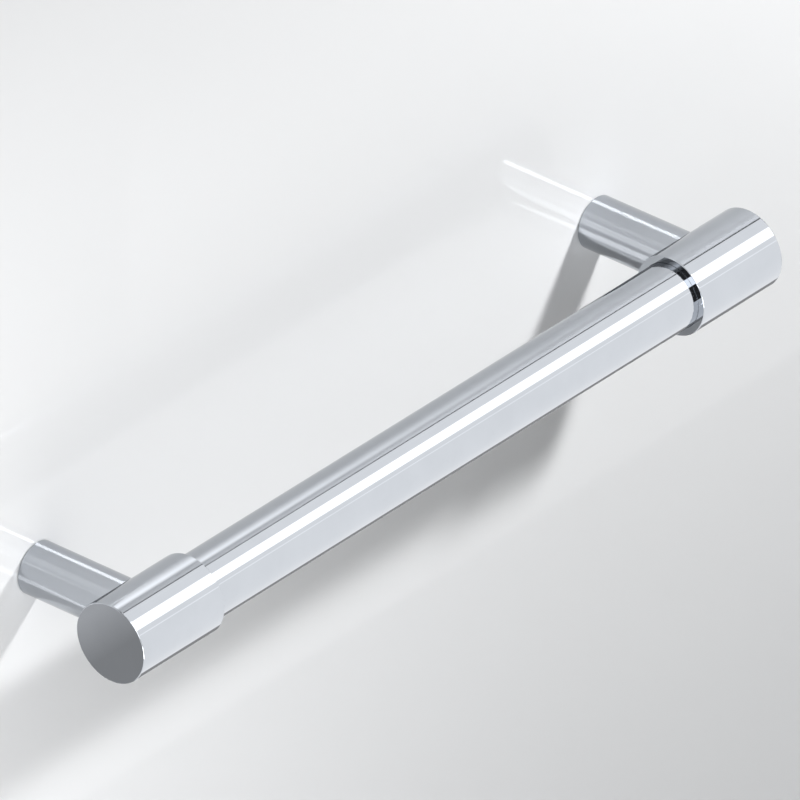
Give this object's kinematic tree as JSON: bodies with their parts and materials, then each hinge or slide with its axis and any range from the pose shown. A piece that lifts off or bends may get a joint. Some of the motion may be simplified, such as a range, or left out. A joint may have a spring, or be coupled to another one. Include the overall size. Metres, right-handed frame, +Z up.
{
  "type": "shower door handle",
  "caption": "Round bar pull handle with closed end sockets on round posts, screwed through a glass shower door from behind.",
  "frame": {"origin": "midway between the axes of the two fixing screws, on the front face of the door glass", "axes": "+X along the grip bar, +Y from the handle through the glass to the rear, +Z up"},
  "size_m": [0.257, 0.0628, 0.023],
  "materials": {
    "polished_chrome": "mirror-polished chrome plate on brass",
    "bare_brass": "turned, unplated",
    "stainless_steel": "bright drawn stainless steel",
    "clear_vinyl": "clear soft vinyl"
  },
  "bodies": {
    "root": {"grip_tube": "polished_chrome", "left_end_socket": "polished_chrome", "right_end_socket": "polished_chrome", "left_tube_plug": "bare_brass", "right_tube_plug": "bare_brass", "left_post": "polished_chrome", "right_post": "polished_chrome", "left_grub_screw": "stainless_steel", "right_grub_screw": "stainless_steel", "left_front_gasket": "clear_vinyl", "right_front_gasket": "clear_vinyl", "left_glass_sleeve": "clear_vinyl", "right_glass_sleeve": "clear_vinyl", "left_rear_gasket": "clear_vinyl", "right_rear_gasket": "clear_vinyl", "left_cup_washer": "polished_chrome", "right_cup_washer": "polished_chrome", "left_fixing_screw": "stainless_steel", "right_fixing_screw": "stainless_steel"}
  },
  "joints": []
}
